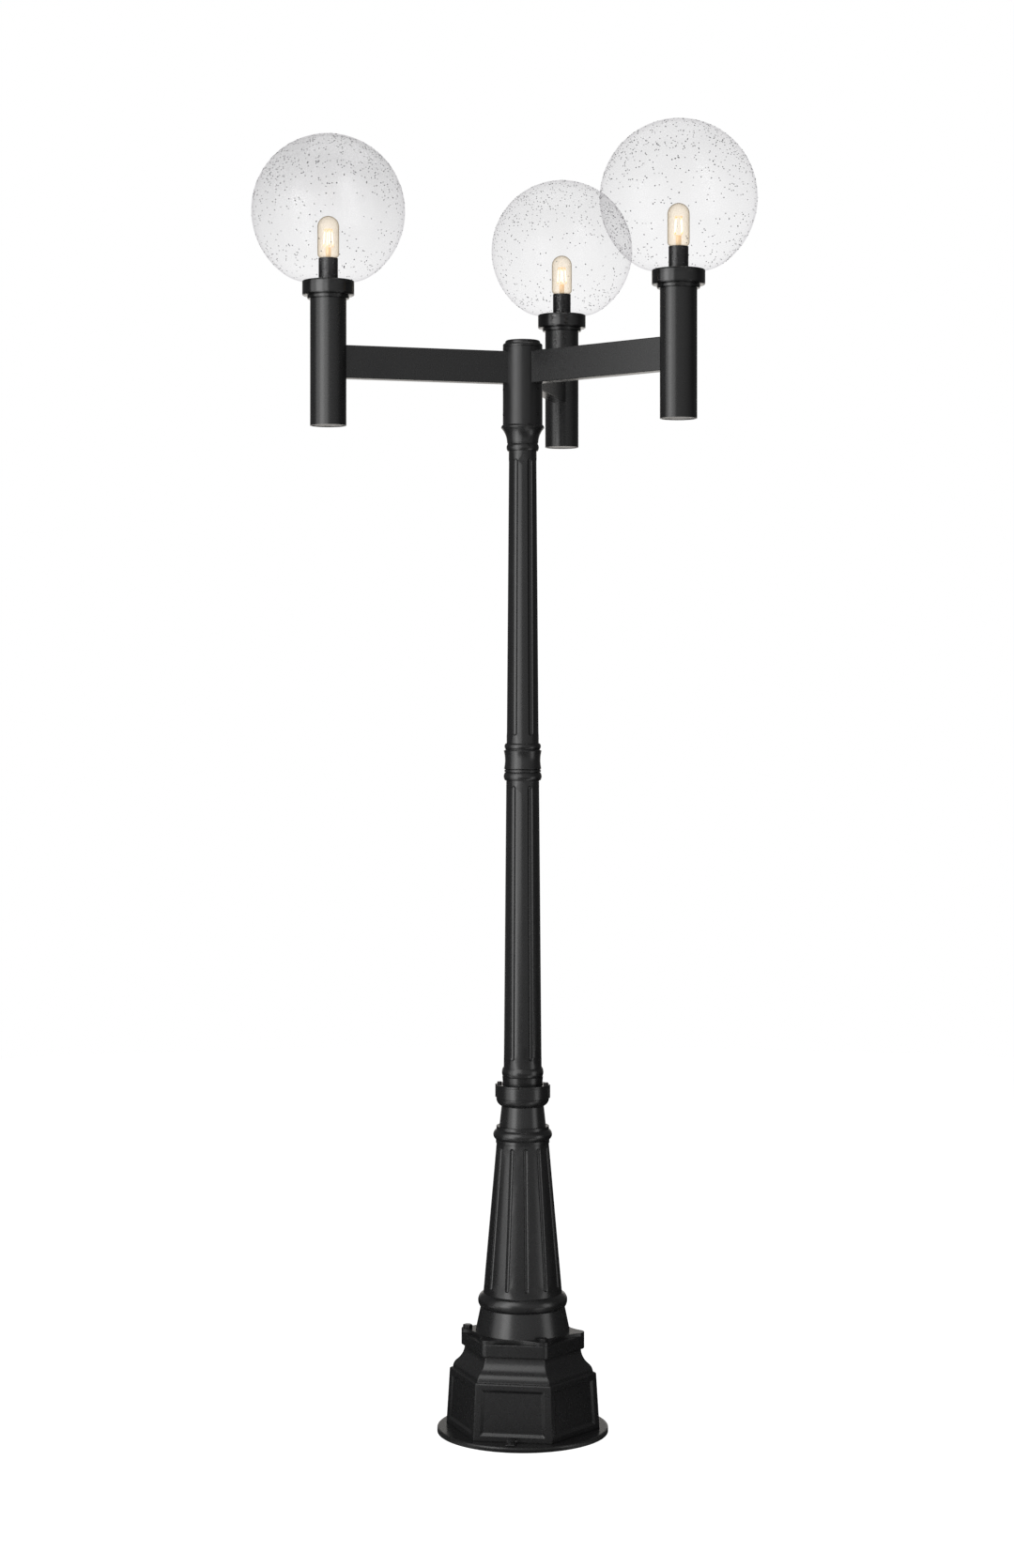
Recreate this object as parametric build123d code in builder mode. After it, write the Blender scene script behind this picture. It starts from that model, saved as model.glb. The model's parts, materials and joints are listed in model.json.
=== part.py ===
from build123d import *
import os
from math import atan, cos, degrees, radians, sin, sqrt

# Outdoor post light with three globe heads on a fluted post.
# Sizes are in millimetres. The post axis is Z, the underside of the base flange is Z = 0
# and the front face of the hexagonal plinth looks towards -Y.

os.makedirs("parts", exist_ok=True)

# Fits
slip = 0.3
screw_fit = 0.1
thread_floor = 2.0

# Base flange: a round plate with a cable hole and holes for the ground anchors
flange_diameter = 346.0
flange_thickness = 10.0
flange_edge = 2.5
conduit_diameter = 90.0
anchor_circle = 210.0
anchor_hole = 15.0
anchor_count = 4
anchor_heading = 45.0

# Hexagonal plinth: radii run from the axis to a corner
plinth_bottom_radius = 156.8
plinth_top_radius = 150.0
plinth_height = 113.0
plinth_wall = 8.0
plinth_edge = 3.5
panel_side_margin = 13.0
panel_top_margin = 12.0
panel_foot_margin = 11.0
panel_bevel = 5.0
panel_depth = 3.5
ogee_bottom_radius = 143.5
ogee_depth = 24.5
ogee_bulge_height = 17.0
ogee_hollow_height = 30.0
slab_radius = 127.5
slab_height = 26.0
slab_corner = 12.0
slab_edge = 2.5
slab_plate = 15.0
slab_opening = 120.0

# Ears of the plinth and the screws that hold them to the flange
ear_width = 20.0
ear_reach = 27.0
ear_thickness = 3.0
ear_corner = 2.5
ear_end = 2.0
ear_heading = -90.0
ear_screw_diameter = 8.0
ear_screw_flats = 13.0
ear_screw_head = 5.5
ear_washer_diameter = 16.0
ear_washer_thickness = 1.6

# Pedestal: foot plate, bell, ring, fluted cone, collar, neck and socket cup
foot_thickness = 7.5
foot_lug = 14.0
scallop_clear = 1.0
foot_bolt_radius = 113.0
foot_bolt_diameter = 10.0
foot_bolt_length = 20.0
foot_bolt_flats = 17.0
foot_bolt_head = 7.0
foot_bolt_chamfer = 1.2
foot_bolt_heading = 180.0
pedestal_wall = 6.0
bell_bottom_diameter = 190.6
bell_top_diameter = 170.4
bell_height = 48.5
ring_height = 25.0
ring_diameter = 180.8
ring_top_diameter = 171.2
ring_ledge_height = 3.5
cone_bottom_diameter = 159.4
cone_top_diameter = 105.8
cone_height = 302.5
cone_flute_count = 12
cone_flute_radius = 5.0
cone_flute_depth = 3.2
cone_flute_foot = 12.0
cone_flute_head = 5.5
fillet_ring_height = 7.0
fillet_ring_diameter = 108.6
torus_height = 20.5
torus_diameter = 119.2
ledge_height = 6.5
ledge_diameter = 106.6
neck_height = 40.5
neck_bottom_diameter = 94.4
neck_top_diameter = 85.6
cup_height = 15.5
cup_groove = 0.8
cup_groove_height = 1.2
band_height = 23.5
band_diameter = 107.0

# Two-piece clamp that holds the shaft foot down in the cup
clamp_thickness = 4.0
clamp_gap = 1.6
clamp_bolt_radius = 47.6
clamp_bolt_diameter = 5.0
clamp_bolt_length = 20.0
clamp_bolt_flats = 8.0
clamp_bolt_head = 4.5
clamp_lug_radius = 8.6

# Lower shaft
shaft_foot_lip = 2.0
shaft_foot_depth = 12.0
shaft_foot_bottom_diameter = 78.8
shaft_foot_top_diameter = 82.6
shaft_foot_height = 20.0
shaft_bead_height = 18.5
shaft_bead_diameter = 84.4
shaft_bead_step = 2.4
shaft_wall = 6.3
shaft_socket = 45.0
lower_shaft_bottom_diameter = 76.8
lower_shaft_top_diameter = 66.8
lower_shaft_length = 581.0
shaft_flute_count = 6
shaft_flute_radius = 8.0
shaft_flute_depth = 2.8
shaft_flute_foot = 14.0
shaft_flute_head = 8.0
lower_flute_heading = 65.0

# Coupling between the two shafts
spigot_length = 40.0
spigot_wall = 5.0
collar_lower_bead_height = 16.0
collar_lower_bead_diameter = 77.2
collar_bead_step = 2.6
collar_ring_height = 4.0
collar_ring_diameter = 74.0
collar_groove = 1.3
collar_groove_diameter = 70.0
spool_height = 38.5
spool_lip = 1.4
spool_bottom_diameter = 75.6
spool_waist_diameter = 71.8
spool_top_diameter = 76.6
collar_upper_bead_height = 12.6
collar_upper_bead_diameter = 74.0

# Upper shaft
upper_shaft_bottom_diameter = 65.4
upper_shaft_top_diameter = 56.4
upper_shaft_length = 585.0
upper_flute_heading = 69.0

# Capital with the tenon that carries the head
capital_neck_height = 6.5
capital_bead_height = 14.5
capital_bead_diameter = 65.6
capital_bead_step = 2.2
capital_groove = 1.8
capital_groove_diameter = 61.5
flare_bottom_diameter = 63.4
flare_top_diameter = 87.4
flare_height = 30.5
flare_lip = 5.7
flare_lip_inset = 2.6
tenon_diameter = 73.0
tenon_height = 84.0
tenon_wall = 4.5
tenon_chamfer = 2.0

# Head: sleeve, cap, arms
head_turn = -3.4
sleeve_diameter = 80.4
sleeve_height = 157.0
sleeve_cap_rim = 7.8
sleeve_cap_rim_foot = 1.0
sleeve_cap_rim_shoulder = 2.0
sleeve_cap_disc = 6.8
sleeve_cap_disc_edge = 4.0
sleeve_cap_disc_diameter = 71.0
sleeve_cap_plug = 14.0
set_screw_diameter = 6.0
set_screw_stand = 1.2
set_screw_socket = 3.0
set_screw_socket_depth = 2.0
set_screw_low = 20.5
set_screw_high = 71.0
arm_reach = 405.0
arm_width = 30.0
arm_depth = 65.0
arm_wall = 2.5
arm_corner = 1.6
arm_below_sleeve_top = 9.2
weld_gap = 0.15
wire_hole = 18.0

# Columns at the arm ends
column_diameter = 72.0
column_wall = 3.0
column_drop = 11.9
column_length = 250.7
plug_thickness = 6.0
plug_recess = 1.0

# Fitter at the top of each column and the threaded collar that holds the globe
step_height = 7.2
step_diameter = 83.4
step_edge = 1.8
fitter_plug = 16.0
fitter_disc = 13.6
gasket_thickness = 4.0
gasket_width = 9.0
collar_diameter = 103.2
collar_height = 28.8
collar_wall = 2.3
collar_edge = 2.0
collar_throat_edge = 2.6

# Globe
globe_diameter = 305.0
globe_wall = 2.5
globe_center_above_collar = 138.3
globe_rest = 0.8
globe_neck_diameter = 92.0
globe_neck_fillet = 2.0
globe_lip = 2.5
globe_lip_height = 4.0

# Lampholder
nipple_diameter = 10.0
nipple_wall = 1.5
nipple_above = 11.0
nut_flats = 16.0
nut_thickness = 5.0
cover_diameter = 38.4
cover_height = 60.0
cover_wall = 1.2
holder_rim = 6.0
shell_wall = 0.6

# Lamp
lamp_base_diameter = 26.2
lamp_base_length = 26.0
lamp_tip_diameter = 10.0
lamp_tip_length = 3.0
lamp_neck_diameter = 24.0
lamp_neck_length = 3.0
lamp_clear = 1.0
lamp_diameter = 43.0
lamp_length = 83.0
lamp_shoulder = 8.0
lamp_wall = 0.9
stem_diameter = 10.6
stem_height = 24.0
stem_edge = 3.0
stick_count = 4
stick_diameter = 2.0
stick_rise = 33.6
stick_foot_circle = 19.6
stick_head_circle = 14.0
stick_above_stem = 2.0
wire_diameter = 0.9


def apothem(radius):
    """Distance from the axis to a hexagon's faces, from its corner radius."""
    return radius * cos(radians(30))


def heading_vector(heading):
    return Vector(cos(radians(heading)), sin(radians(heading)), 0)


def upright(heading, distance=0.0):
    """Standing plane on a line parallel to Z: local x runs outwards, local y runs up."""
    out = heading_vector(heading)
    return Plane(origin=out * distance, x_dir=out, z_dir=heading_vector(heading - 90))


def facing(heading, distance=0.0, level=0.0):
    """Standing plane that looks outwards: local y runs up from the level."""
    out = heading_vector(heading)
    origin = out * distance + Vector(0, 0, level)
    return Plane(origin=origin, x_dir=heading_vector(heading + 90), z_dir=out)


def line_axis(heading, distance):
    return Axis(origin=tuple(heading_vector(heading) * distance), direction=(0, 0, 1))


def hexagonal(half_section, reach):
    """Solid with hexagonal levels whose apothem follows the right side of a half section."""
    with BuildPart() as body:
        with BuildSketch(upright(30)):
            add(half_section)
            mirror(about=Plane.YZ)
        extrude(amount=reach, both=True)
        with BuildSketch(upright(90)):
            add(half_section)
            mirror(about=Plane.YZ)
        extrude(amount=reach, both=True, mode=Mode.INTERSECT)
        with BuildSketch(upright(150)):
            add(half_section)
            mirror(about=Plane.YZ)
        extrude(amount=reach, both=True, mode=Mode.INTERSECT)
    return body.part


def flute_rod(low, high, radius, depth):
    """Round-ended rod that cuts one flute along the line from low to high, as (radius, z)."""
    low = Vector(*low)
    high = Vector(*high)
    along = (high - low).normalized()
    across = Vector(along.Y, -along.X)
    start = low + across * (radius - depth)
    end = high + across * (radius - depth)
    slant = cos(radians(45))
    with BuildPart() as rod:
        with BuildSketch(upright(0)):
            with BuildLine():
                Line(start - along * radius, end + along * radius)
                ThreePointArc(
                    end + along * radius,
                    end + (along + across) * slant * radius,
                    end + across * radius,
                )
                Line(end + across * radius, start + across * radius)
                ThreePointArc(
                    start + across * radius,
                    start + (across - along) * slant * radius,
                    start - along * radius,
                )
            make_face()
        revolve(axis=Axis(origin=(start.X, 0, start.Y), direction=(along.X, 0, along.Y)))
    return rod.part


def tapered_flute(foot, head, foot_gap, head_gap, radius, depth):
    """Flute rod along a taper from foot to head, as (radius, z), that leaves a gap at each end."""
    foot = Vector(*foot)
    head = Vector(*head)
    rise = head.Y - foot.Y
    low = foot + (head - foot) * (foot_gap + radius) / rise
    high = head - (head - foot) * (head_gap + radius) / rise
    return flute_rod((low.X, low.Y), (high.X, high.Y), radius, depth)


# Levels of the post, from the ground up
plinth_top = flange_thickness + plinth_height
ogee_crease = plinth_top + ogee_bulge_height
ogee_top = ogee_crease + ogee_hollow_height
slab_top = ogee_top + slab_height
foot_top = slab_top + foot_thickness
bell_top = foot_top + bell_height
ring_top = bell_top + ring_height
cone_bottom = ring_top + ring_ledge_height
cone_top = cone_bottom + cone_height
fillet_ring_top = cone_top + fillet_ring_height
torus_top = fillet_ring_top + torus_height
ledge_top = torus_top + ledge_height
neck_top = ledge_top + neck_height
cup_top = neck_top + cup_height
band_top = cup_top + band_height
clamp_top = band_top + clamp_thickness
shaft_foot_bottom = band_top - shaft_foot_depth
shaft_foot_top = band_top + shaft_foot_height
shaft_bead_top = shaft_foot_top + shaft_bead_height
lower_shaft_top = shaft_bead_top + lower_shaft_length
lower_bead_top = lower_shaft_top + collar_lower_bead_height
collar_ring_bottom = lower_bead_top + collar_groove
collar_ring_top = collar_ring_bottom + collar_ring_height
spool_bottom = collar_ring_top + collar_groove
spool_top = spool_bottom + spool_height
upper_bead_bottom = spool_top + collar_groove
coupling_top = upper_bead_bottom + collar_upper_bead_height
upper_shaft_top = coupling_top + upper_shaft_length
capital_bead_bottom = upper_shaft_top + capital_neck_height
capital_bead_top = capital_bead_bottom + capital_bead_height
flare_bottom = capital_bead_top + capital_groove
flare_top = flare_bottom + flare_height
capital_top = flare_top + flare_lip

# Levels of the head
sleeve_top = capital_top + sleeve_height
arm_middle = sleeve_top - arm_below_sleeve_top - arm_depth / 2
column_bottom = capital_top - column_drop
column_top = column_bottom + column_length
collar_bottom = column_top + step_height
fitter_top = collar_bottom + fitter_disc
gasket_top = fitter_top + gasket_thickness
collar_top = collar_bottom + collar_height
cover_top = fitter_top + cover_height
lamp_bottom = cover_top + lamp_clear
lamp_base_top = lamp_bottom - lamp_neck_length
lamp_base_bottom = lamp_base_top - lamp_base_length
lamp_top = lamp_bottom + lamp_length

# Radii that two pieces share
foot_lip_radius = shaft_foot_top_diameter / 2 + slip + shaft_foot_lip
lower_socket_radius = lower_shaft_top_diameter / 2 - shaft_wall
upper_socket_radius = upper_shaft_bottom_diameter / 2 - shaft_wall
capital_socket_radius = upper_shaft_top_diameter / 2 - shaft_wall
sleeve_bore_radius = tenon_diameter / 2 + slip
column_bore_radius = column_diameter / 2 - column_wall
collar_bore_radius = collar_diameter / 2 - collar_wall
fitter_radius = collar_bore_radius - slip
holder_radius = cover_diameter / 2 - cover_wall - slip
shell_bore_radius = lamp_base_diameter / 2 + slip
ear_screw_radius = apothem(plinth_bottom_radius) + ear_reach - ear_end - ear_washer_diameter / 2

heads = {"left": 210.0 + head_turn, "right": -30.0 + head_turn, "rear": 90.0 + head_turn}


# Base flange
with BuildPart() as base_flange:
    with BuildSketch():
        Circle(flange_diameter / 2)
        Circle(conduit_diameter / 2, mode=Mode.SUBTRACT)
        with PolarLocations(anchor_circle / 2, anchor_count, start_angle=anchor_heading):
            Circle(anchor_hole / 2, mode=Mode.SUBTRACT)
    extrude(amount=flange_thickness)
    rim = base_flange.edges().filter_by(GeomType.CIRCLE).group_by(SortBy.RADIUS)[-1]
    fillet(rim.sort_by(Axis.Z)[-1], radius=flange_edge)
    with BuildSketch(Plane.XY.offset(flange_thickness)):
        with PolarLocations(ear_screw_radius, 3, start_angle=ear_heading):
            Circle(ear_screw_diameter / 2 + screw_fit)
    extrude(amount=thread_floor - flange_thickness, mode=Mode.SUBTRACT)
base_flange.part.label = "base_flange"
export_step(base_flange.part, "parts/base_flange.step")


# Hexagonal plinth: tapered walls with sunk panels, an ogee and a slab on top
bottom_face = apothem(plinth_bottom_radius)
top_face = apothem(plinth_top_radius)
ogee_face = apothem(ogee_bottom_radius)
ogee_bulge_depth = ogee_depth * ogee_bulge_height / (ogee_bulge_height + ogee_hollow_height)
crease_face = apothem(ogee_bottom_radius - ogee_bulge_depth)
hollow_face = apothem(ogee_bottom_radius - ogee_depth)
slab_face = apothem(slab_radius)
face_slope = (bottom_face - top_face) / plinth_height
face_length = sqrt(plinth_height**2 + (bottom_face - top_face) ** 2)

with BuildSketch() as plinth_section:
    with BuildLine():
        Line((0, flange_thickness), (bottom_face, flange_thickness))
        Line((bottom_face, flange_thickness), (top_face, plinth_top - plinth_edge))
        TangentArc(
            (top_face - plinth_edge, plinth_top), (top_face, plinth_top - plinth_edge), tangent=(1, 0)
        )
        Line((top_face - plinth_edge, plinth_top), (ogee_face, plinth_top))
        TangentArc((ogee_face, plinth_top), (crease_face, ogee_crease), tangent=(0, 1))
        TangentArc((hollow_face, ogee_top), (crease_face, ogee_crease), tangent=(0, -1))
        Line((hollow_face, ogee_top), (0, ogee_top))
        Line((0, ogee_top), (0, flange_thickness))
    make_face()

with BuildSketch() as plinth_hollow:
    with BuildLine():
        Polyline(
            (0, flange_thickness),
            (bottom_face - plinth_wall, flange_thickness),
            (ogee_face - plinth_wall, plinth_top - plinth_wall),
            (hollow_face - plinth_wall, ogee_crease),
            (hollow_face - plinth_wall, slab_top - slab_plate),
            (0, slab_top - slab_plate),
            close=True,
        )
    make_face()

front_face = Plane(
    origin=(0, -(bottom_face + top_face) / 2, flange_thickness + plinth_height / 2),
    x_dir=(1, 0, 0),
    z_dir=(0, -1, face_slope),
)


def panel_corners(inset):
    """Corners of the sunk panel on a plinth face, drawn in from its border by the inset."""
    low = -face_length / 2 + panel_foot_margin + inset
    high = face_length / 2 - panel_top_margin - inset
    middle = (plinth_bottom_radius + plinth_top_radius) / 4
    lean = (plinth_bottom_radius - plinth_top_radius) / 2 / face_length
    half_low = middle - lean * low - panel_side_margin - inset
    half_high = middle - lean * high - panel_side_margin - inset
    return [(-half_low, low), (half_low, low), (half_high, high), (-half_high, high)]


with BuildPart() as panel_cutter:
    with BuildSketch(front_face.offset(panel_depth)):
        with BuildLine():
            Polyline(*panel_corners(-panel_bevel), close=True)
        make_face()
    with BuildSketch(front_face.offset(-panel_depth)):
        with BuildLine():
            Polyline(*panel_corners(panel_bevel), close=True)
        make_face()
    loft()

hexagon_reach = 2 * plinth_bottom_radius
plinth_outside = hexagonal(plinth_section.sketch, hexagon_reach)
plinth_inside = hexagonal(plinth_hollow.sketch, hexagon_reach)

with BuildPart() as slab:
    with BuildSketch(Plane.XY.offset(ogee_top)) as slab_outline:
        RegularPolygon(slab_radius, 6)
        fillet(slab_outline.vertices(), radius=slab_corner)
    extrude(amount=slab_height)
    fillet(slab.faces().sort_by(Axis.Z)[0].edges(), radius=slab_edge)

with BuildPart() as base_plinth:
    add(plinth_outside)
    add(slab.part)
    with BuildSketch(Plane.XY.offset(flange_thickness)):
        with PolarLocations(bottom_face - plinth_wall / 2 + ear_reach / 2, 3, start_angle=ear_heading):
            RectangleRounded(plinth_wall + ear_reach, ear_width, ear_corner)
    extrude(amount=ear_thickness)
    add(plinth_inside, mode=Mode.SUBTRACT)
    with PolarLocations(0, 6):
        add(panel_cutter.part, mode=Mode.SUBTRACT)
    with BuildSketch(Plane.XY.offset(slab_top)):
        Circle(slab_opening / 2)
        with PolarLocations(foot_bolt_radius, 3, start_angle=foot_bolt_heading):
            Circle(foot_bolt_diameter / 2 + screw_fit)
    extrude(amount=-slab_plate, mode=Mode.SUBTRACT)
    with BuildSketch(Plane.XY.offset(flange_thickness)):
        with PolarLocations(ear_screw_radius, 3, start_angle=ear_heading):
            Circle(ear_screw_diameter / 2 + screw_fit)
    extrude(amount=ear_thickness, mode=Mode.SUBTRACT)
base_plinth.part.label = "base_plinth"
export_step(base_plinth.part, "parts/base_plinth.step")


# Screws that hold the plinth ears to the flange
with BuildPart() as plinth_screws:
    with BuildSketch(Plane.XY.offset(flange_thickness + ear_thickness)):
        with PolarLocations(ear_screw_radius, 3, start_angle=ear_heading):
            Circle(ear_washer_diameter / 2)
    extrude(amount=ear_washer_thickness)
    with BuildSketch(Plane.XY.offset(flange_thickness + ear_thickness + ear_washer_thickness)):
        with PolarLocations(ear_screw_radius, 3, start_angle=ear_heading):
            RegularPolygon(ear_screw_flats / 2, 6, major_radius=False)
    extrude(amount=ear_screw_head)
    with BuildSketch(Plane.XY.offset(flange_thickness + ear_thickness)):
        with PolarLocations(ear_screw_radius, 3, start_angle=ear_heading):
            Circle(ear_screw_diameter / 2)
    extrude(amount=thread_floor + screw_fit - flange_thickness - ear_thickness)
plinth_screws.part.label = "plinth_screws"
export_step(plinth_screws.part, "parts/plinth_screws.step")


# Pedestal: one hollow casting from the scalloped foot plate up to the socket cup
scallop_inner = bell_bottom_diameter / 2 + scallop_clear
scallop_depth = slab_face - scallop_inner
scallop_half = slab_radius / 2 - foot_lug
scallop_radius = (scallop_half**2 + scallop_depth**2) / (2 * scallop_depth)
cup_radius = band_diameter / 2
cup_step = cup_radius - cup_groove
cone_flute = tapered_flute(
    (cone_bottom_diameter / 2, cone_bottom),
    (cone_top_diameter / 2, cone_top),
    cone_flute_foot,
    cone_flute_head,
    cone_flute_radius,
    cone_flute_depth,
)

with BuildPart() as pedestal:
    with BuildSketch(upright(0)):
        with BuildLine():
            Polyline(
                (0, slab_top),
                (bell_bottom_diameter / 2, slab_top),
                (bell_bottom_diameter / 2, foot_top),
                (bell_top_diameter / 2, bell_top),
            )
            ThreePointArc(
                (bell_top_diameter / 2, bell_top),
                (ring_diameter / 2, bell_top + ring_height / 2),
                (ring_top_diameter / 2, ring_top),
            )
            Polyline(
                (ring_top_diameter / 2, ring_top),
                (cone_bottom_diameter / 2, cone_bottom),
                (cone_top_diameter / 2, cone_top),
                (fillet_ring_diameter / 2, cone_top),
                (fillet_ring_diameter / 2, fillet_ring_top),
            )
            ThreePointArc(
                (fillet_ring_diameter / 2, fillet_ring_top),
                (torus_diameter / 2, (fillet_ring_top + torus_top) / 2),
                (ledge_diameter / 2, torus_top),
            )
            Polyline(
                (ledge_diameter / 2, torus_top),
                (ledge_diameter / 2, ledge_top),
                (neck_bottom_diameter / 2, ledge_top),
                (neck_top_diameter / 2, neck_top),
            )
            TangentArc((cup_radius, cup_top), (neck_top_diameter / 2, neck_top), tangent=(0, -1))
            Polyline(
                (cup_radius, cup_top),
                (cup_step, cup_top),
                (cup_step, cup_top + cup_groove_height),
                (cup_radius, cup_top + cup_groove_height),
                (cup_radius, band_top),
                (0, band_top),
                (0, slab_top),
            )
        make_face()
    revolve(axis=Axis.Z)
    with BuildSketch(Plane.XY.offset(slab_top)) as foot_plate:
        RegularPolygon(slab_radius, 6)
        fillet(foot_plate.vertices(), radius=slab_corner)
        with PolarLocations(scallop_inner + scallop_radius, 6, start_angle=30):
            Circle(scallop_radius, mode=Mode.SUBTRACT)
    extrude(amount=foot_thickness)
    with BuildSketch(Plane.XY.offset(cup_top + cup_groove_height)):
        with PolarLocations(clamp_bolt_radius, 2):
            Circle(clamp_lug_radius)
    extrude(amount=band_height - cup_groove_height)
    with BuildSketch(upright(0)):
        with BuildLine():
            Polyline(
                (0, slab_top),
                (bell_top_diameter / 2 - pedestal_wall, slab_top),
                (cone_bottom_diameter / 2 - pedestal_wall, cone_bottom),
                (cone_top_diameter / 2 - pedestal_wall, cone_top),
                (neck_top_diameter / 2 - pedestal_wall, neck_top),
                (neck_top_diameter / 2 - pedestal_wall, shaft_foot_bottom),
                (foot_lip_radius + slip, shaft_foot_bottom),
                (foot_lip_radius + slip, band_top),
                (0, band_top),
                close=True,
            )
        make_face()
    revolve(axis=Axis.Z, mode=Mode.SUBTRACT)
    with PolarLocations(0, cone_flute_count, start_angle=180 / cone_flute_count):
        add(cone_flute, mode=Mode.SUBTRACT)
    with BuildSketch(Plane.XY.offset(foot_top)):
        with PolarLocations(foot_bolt_radius, 3, start_angle=foot_bolt_heading):
            Circle(foot_bolt_diameter / 2 + screw_fit)
    extrude(amount=-foot_thickness, mode=Mode.SUBTRACT)
    with BuildSketch(Plane.XY.offset(band_top)):
        with PolarLocations(clamp_bolt_radius, 2):
            Circle(clamp_bolt_diameter / 2 + screw_fit)
    extrude(amount=clamp_thickness - clamp_bolt_length - thread_floor, mode=Mode.SUBTRACT)
pedestal.part.label = "pedestal"
export_step(pedestal.part, "parts/pedestal.step")


# Bolts that hold the pedestal to the plinth, at every second corner
with BuildPart() as pedestal_bolts:
    with BuildSketch(Plane.XY.offset(foot_top)):
        with PolarLocations(foot_bolt_radius, 3, start_angle=foot_bolt_heading):
            RegularPolygon(foot_bolt_flats / 2, 6, major_radius=False)
    extrude(amount=foot_bolt_head)
    chamfer(pedestal_bolts.faces().group_by(Axis.Z)[-1].edges(), length=foot_bolt_chamfer)
    with BuildSketch(Plane.XY.offset(foot_top)):
        with PolarLocations(foot_bolt_radius, 3, start_angle=foot_bolt_heading):
            Circle(foot_bolt_diameter / 2)
    extrude(amount=-foot_bolt_length)
pedestal_bolts.part.label = "pedestal_bolts"
export_step(pedestal_bolts.part, "parts/pedestal_bolts.step")


# Lower shaft: its foot stands in the pedestal cup
lower_flute = tapered_flute(
    (lower_shaft_bottom_diameter / 2, shaft_bead_top),
    (lower_shaft_top_diameter / 2, lower_shaft_top),
    shaft_flute_foot,
    shaft_flute_head,
    shaft_flute_radius,
    shaft_flute_depth,
)

with BuildPart() as lower_shaft:
    with BuildSketch(upright(0)):
        with BuildLine():
            Polyline(
                (lower_shaft_bottom_diameter / 2 - shaft_wall, shaft_foot_bottom),
                (foot_lip_radius, shaft_foot_bottom),
                (foot_lip_radius, band_top),
                (shaft_foot_bottom_diameter / 2, band_top),
                (shaft_foot_top_diameter / 2, shaft_foot_top),
                (shaft_bead_diameter / 2 - shaft_bead_step, shaft_foot_top),
            )
            ThreePointArc(
                (shaft_bead_diameter / 2 - shaft_bead_step, shaft_foot_top),
                (shaft_bead_diameter / 2, (shaft_foot_top + shaft_bead_top) / 2),
                (shaft_bead_diameter / 2 - shaft_bead_step, shaft_bead_top),
            )
            Polyline(
                (shaft_bead_diameter / 2 - shaft_bead_step, shaft_bead_top),
                (lower_shaft_bottom_diameter / 2, shaft_bead_top),
                (lower_shaft_top_diameter / 2, lower_shaft_top),
                (lower_socket_radius, lower_shaft_top),
                (lower_socket_radius, lower_shaft_top - shaft_socket),
                (lower_shaft_bottom_diameter / 2 - shaft_wall, shaft_foot_bottom),
            )
        make_face()
    revolve(axis=Axis.Z)
    with PolarLocations(0, shaft_flute_count, start_angle=lower_flute_heading):
        add(lower_flute, mode=Mode.SUBTRACT)
lower_shaft.part.label = "lower_shaft"
export_step(lower_shaft.part, "parts/lower_shaft.step")


# Clamp halves over the shaft foot and their bolts
with BuildPart() as clamp_right:
    with BuildSketch(Plane.XY.offset(band_top)):
        Circle(cup_radius)
        with PolarLocations(clamp_bolt_radius, 2):
            Circle(clamp_lug_radius)
        Circle(shaft_foot_top_diameter / 2 + slip, mode=Mode.SUBTRACT)
        with Locations((clamp_bolt_radius, 0)):
            Circle(clamp_bolt_diameter / 2 + screw_fit, mode=Mode.SUBTRACT)
        with Locations((clamp_gap / 2, 0)):
            Rectangle(
                band_diameter, 2 * band_diameter, align=(Align.MIN, Align.CENTER), mode=Mode.INTERSECT
            )
    extrude(amount=clamp_thickness)
clamp_right.part.label = "clamp_right"
export_step(clamp_right.part, "parts/clamp_right.step")

with BuildPart() as clamp_left:
    add(clamp_right.part.rotate(Axis.Z, 180))
clamp_left.part.label = "clamp_left"
export_step(clamp_left.part, "parts/clamp_left.step")

with BuildPart() as clamp_bolts:
    with BuildSketch(Plane.XY.offset(clamp_top)):
        with PolarLocations(clamp_bolt_radius, 2):
            RegularPolygon(clamp_bolt_flats / 2, 6, major_radius=False)
    extrude(amount=clamp_bolt_head)
    with BuildSketch(Plane.XY.offset(clamp_top)):
        with PolarLocations(clamp_bolt_radius, 2):
            Circle(clamp_bolt_diameter / 2)
    extrude(amount=-clamp_bolt_length)
clamp_bolts.part.label = "clamp_bolts"
export_step(clamp_bolts.part, "parts/clamp_bolts.step")


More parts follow.
